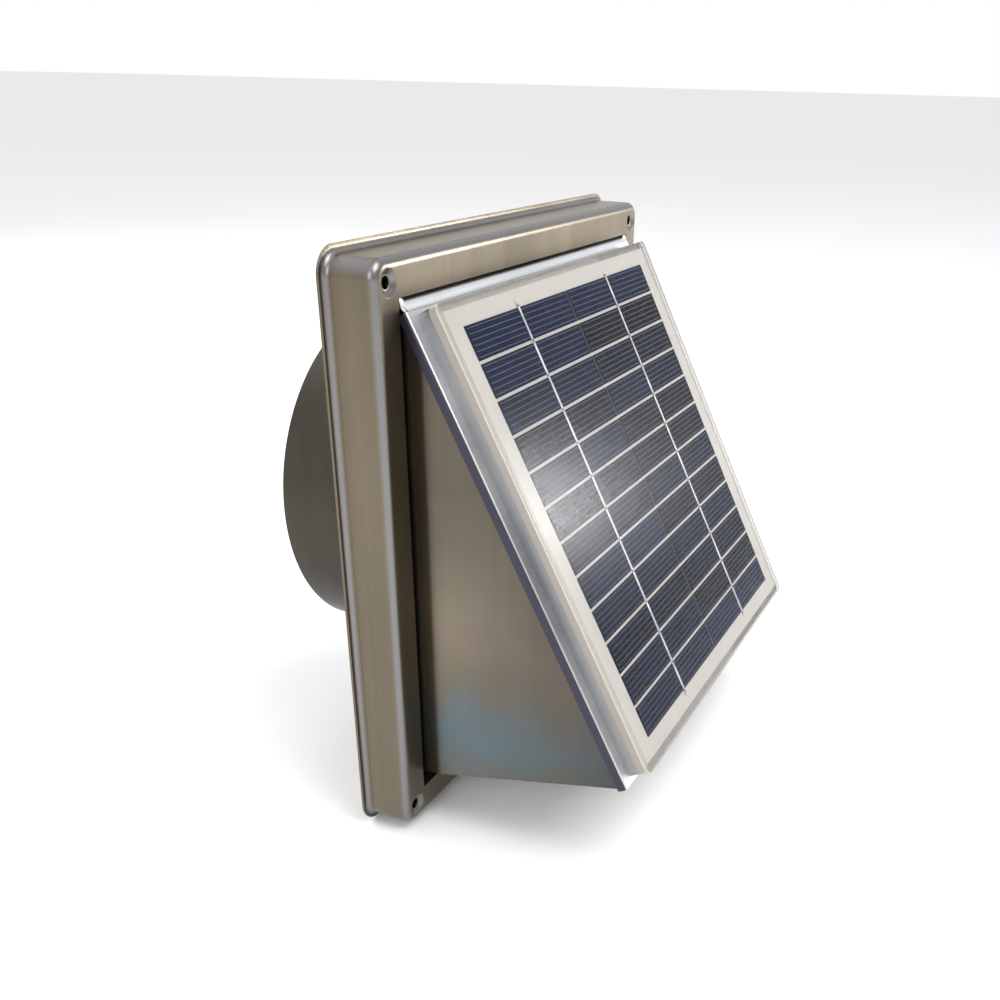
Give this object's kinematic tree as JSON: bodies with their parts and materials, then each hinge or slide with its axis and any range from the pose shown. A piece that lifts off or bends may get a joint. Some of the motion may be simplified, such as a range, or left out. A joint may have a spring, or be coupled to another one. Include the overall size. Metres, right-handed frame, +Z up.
{
  "type": "solar powered wall vent fan",
  "caption": "Square wall vent with a sloped hood, a solar panel on the hood and a fan in its round duct spigot.",
  "frame": {"origin": "on the duct's axis, in the plane of the wall behind the base", "axes": "+X to the right seen from outside, -Y out of the wall, +Y along the duct spigot into the wall, +Z up"},
  "size_m": [0.241, 0.1867, 0.241],
  "materials": {
    "base_steel": "satin pressed stainless sheet",
    "plate_steel": "plain stainless sheet",
    "spigot_steel": "rolled stainless sheet",
    "hood_steel": "brushed stainless sheet",
    "tray_steel": "pressed stainless pan",
    "board_white": "off-white face of the rigid board",
    "edge_sealant": "cured clear sealant at the edge of the laminate",
    "cell_silicon": "blue polycrystalline silicon with printed silver lines",
    "ribbon_tin": "tinned copper ribbon",
    "panel_cover": "lightly hammered clear cover sheet",
    "black_plastic": "moulded black plastic",
    "terminal_white": "moulded terminal block",
    "cable_black": "black cable jacket",
    "motor_steel": "zinc plated motor can",
    "magnet_black": "sintered ferrite",
    "copper": "enamelled copper",
    "bronze": "oil filled sintered bronze",
    "core_steel": "stacked laminations",
    "bright_steel": "ground and plated steel",
    "fastener_steel": "stainless fasteners"
  },
  "bodies": {
    "housing": {"base_frame": "base_steel", "back_plate": "plate_steel", "duct_spigot": "spigot_steel", "hood_front": "hood_steel", "hood_side_left": "hood_steel", "hood_side_right": "hood_steel", "panel_tray": "tray_steel", "panel_board": "board_white", "panel_edge_seal": "edge_sealant", "solar_cells": "cell_silicon", "cell_ribbons": "ribbon_tin", "panel_cover": "panel_cover", "junction_box": "black_plastic", "junction_box_lid": "black_plastic", "terminal_block": "terminal_white", "cable_gland": "black_plastic", "motor_lead": "cable_black", "fan_ring": "black_plastic", "motor_spider": "black_plastic", "motor_can": "motor_steel", "motor_end_cap": "black_plastic", "motor_magnets": "magnet_black", "motor_brushes": "copper", "impeller_bearing": "bronze", "rear_bearing": "bronze", "inlet_guard": "bright_steel", "flange_rivets": "fastener_steel", "cheek_screws": "fastener_steel", "tray_screws": "fastener_steel", "guard_screws": "fastener_steel", "lid_screws": "fastener_steel"},
    "rotor": {"motor_shaft": "bright_steel", "armature_core": "core_steel", "armature_windings": "copper", "commutator": "copper", "fan_impeller": "black_plastic", "impeller_nut": "bright_steel"}
  },
  "joints": [
    {"name": "fan_spin", "type": "hinge", "parent": "housing", "child": "rotor", "pos_m": [0, 0, 0], "axis": [0, 1, 0], "continuous": true}
  ]
}
